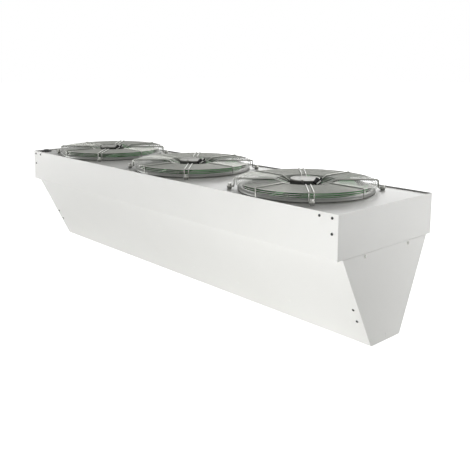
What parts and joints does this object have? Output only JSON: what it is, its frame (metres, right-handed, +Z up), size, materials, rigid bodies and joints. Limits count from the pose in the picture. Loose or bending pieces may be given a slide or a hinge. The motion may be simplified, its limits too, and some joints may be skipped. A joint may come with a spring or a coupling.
{
  "type": "air curtain",
  "caption": "Long overdoor air curtain: a shallow box on a tapering outlet, with guarded axial fans on its deck.",
  "frame": {"origin": "centre of the case's box, at the height of the outlet's lower edge", "axes": "+X along the case to the right seen from the front, -Y to the front, +Z up"},
  "size_m": [2.0024, 0.5332, 0.5228],
  "materials": {
    "powder_coat_white": "fine-textured white powder coat on folded sheet steel",
    "deck_gloss_white": "glossy white coating on the deck sheet",
    "nozzle_grey": "light grey coated pressed steel",
    "guard_wire": "zinc-plated steel wire",
    "galvanised_steel": "galvanised sheet",
    "zinc_fastener": "bright zinc plating",
    "cast_aluminium": "die-cast, turned face",
    "rotor_black": "black lacquered steel",
    "core_steel": "laminated electrical steel",
    "bearing_steel": "ground bearing steel",
    "plug_black": "moulded black plastic",
    "blade_green": "moulded green glass-filled plastic",
    "screw_black": "black oxide",
    "rivet_white": "white lacquered aluminium rivet",
    "rubber_black": "black rubber",
    "terminal_grey": "grey moulded plastic"
  },
  "bodies": {
    "casing": {"fan_deck": "deck_gloss_white", "upper_front_panel": "powder_coat_white", "upper_rear_panel": "powder_coat_white", "upper_left_end": "powder_coat_white", "upper_right_end": "powder_coat_white", "lower_front_panel": "powder_coat_white", "lower_rear_panel": "powder_coat_white", "lower_left_end": "powder_coat_white", "lower_right_end": "powder_coat_white", "centre_frame": "galvanised_steel", "outlet_rail_front": "galvanised_steel", "outlet_rail_rear": "galvanised_steel", "air_vanes": "powder_coat_white", "vane_brackets": "galvanised_steel", "terminal_box": "terminal_grey", "terminal_box_cover": "terminal_grey", "terminal_strip": "plug_black", "cover_screws": "zinc_fastener", "cable_grommet": "rubber_black", "upper_screws": "screw_black", "lower_screws": "screw_black", "seam_rivets": "rivet_white", "outlet_rivets": "rivet_white", "frame_rivets": "rivet_white", "hanging_inserts": "zinc_fastener", "inlet_nozzle_1": "nozzle_grey", "guard_1": "guard_wire", "guard_bolts_1": "zinc_fastener", "motor_housing_1": "cast_aluminium", "stator_core_1": "core_steel", "bearings_1": "bearing_steel", "motor_connector_1": "plug_black", "inlet_nozzle_2": "nozzle_grey", "guard_2": "guard_wire", "guard_bolts_2": "zinc_fastener", "motor_housing_2": "cast_aluminium", "stator_core_2": "core_steel", "bearings_2": "bearing_steel", "motor_connector_2": "plug_black", "inlet_nozzle_3": "nozzle_grey", "guard_3": "guard_wire", "guard_bolts_3": "zinc_fastener", "motor_housing_3": "cast_aluminium", "stator_core_3": "core_steel", "bearings_3": "bearing_steel", "motor_connector_3": "plug_black"},
    "fan_1": {"rotor_1": "rotor_black", "shaft_1": "bearing_steel", "impeller_1": "blade_green"},
    "fan_2": {"rotor_2": "rotor_black", "shaft_2": "bearing_steel", "impeller_2": "blade_green"},
    "fan_3": {"rotor_3": "rotor_black", "shaft_3": "bearing_steel", "impeller_3": "blade_green"}
  },
  "joints": [
    {"name": "fan_1_spin", "type": "hinge", "parent": "casing", "child": "fan_1", "pos_m": [-0.658, 0, 0.468], "axis": [0, 0, 1], "continuous": true},
    {"name": "fan_2_spin", "type": "hinge", "parent": "casing", "child": "fan_2", "pos_m": [-0.008, 0, 0.468], "axis": [0, 0, 1], "continuous": true},
    {"name": "fan_3_spin", "type": "hinge", "parent": "casing", "child": "fan_3", "pos_m": [0.642, 0, 0.468], "axis": [0, 0, 1], "continuous": true}
  ]
}
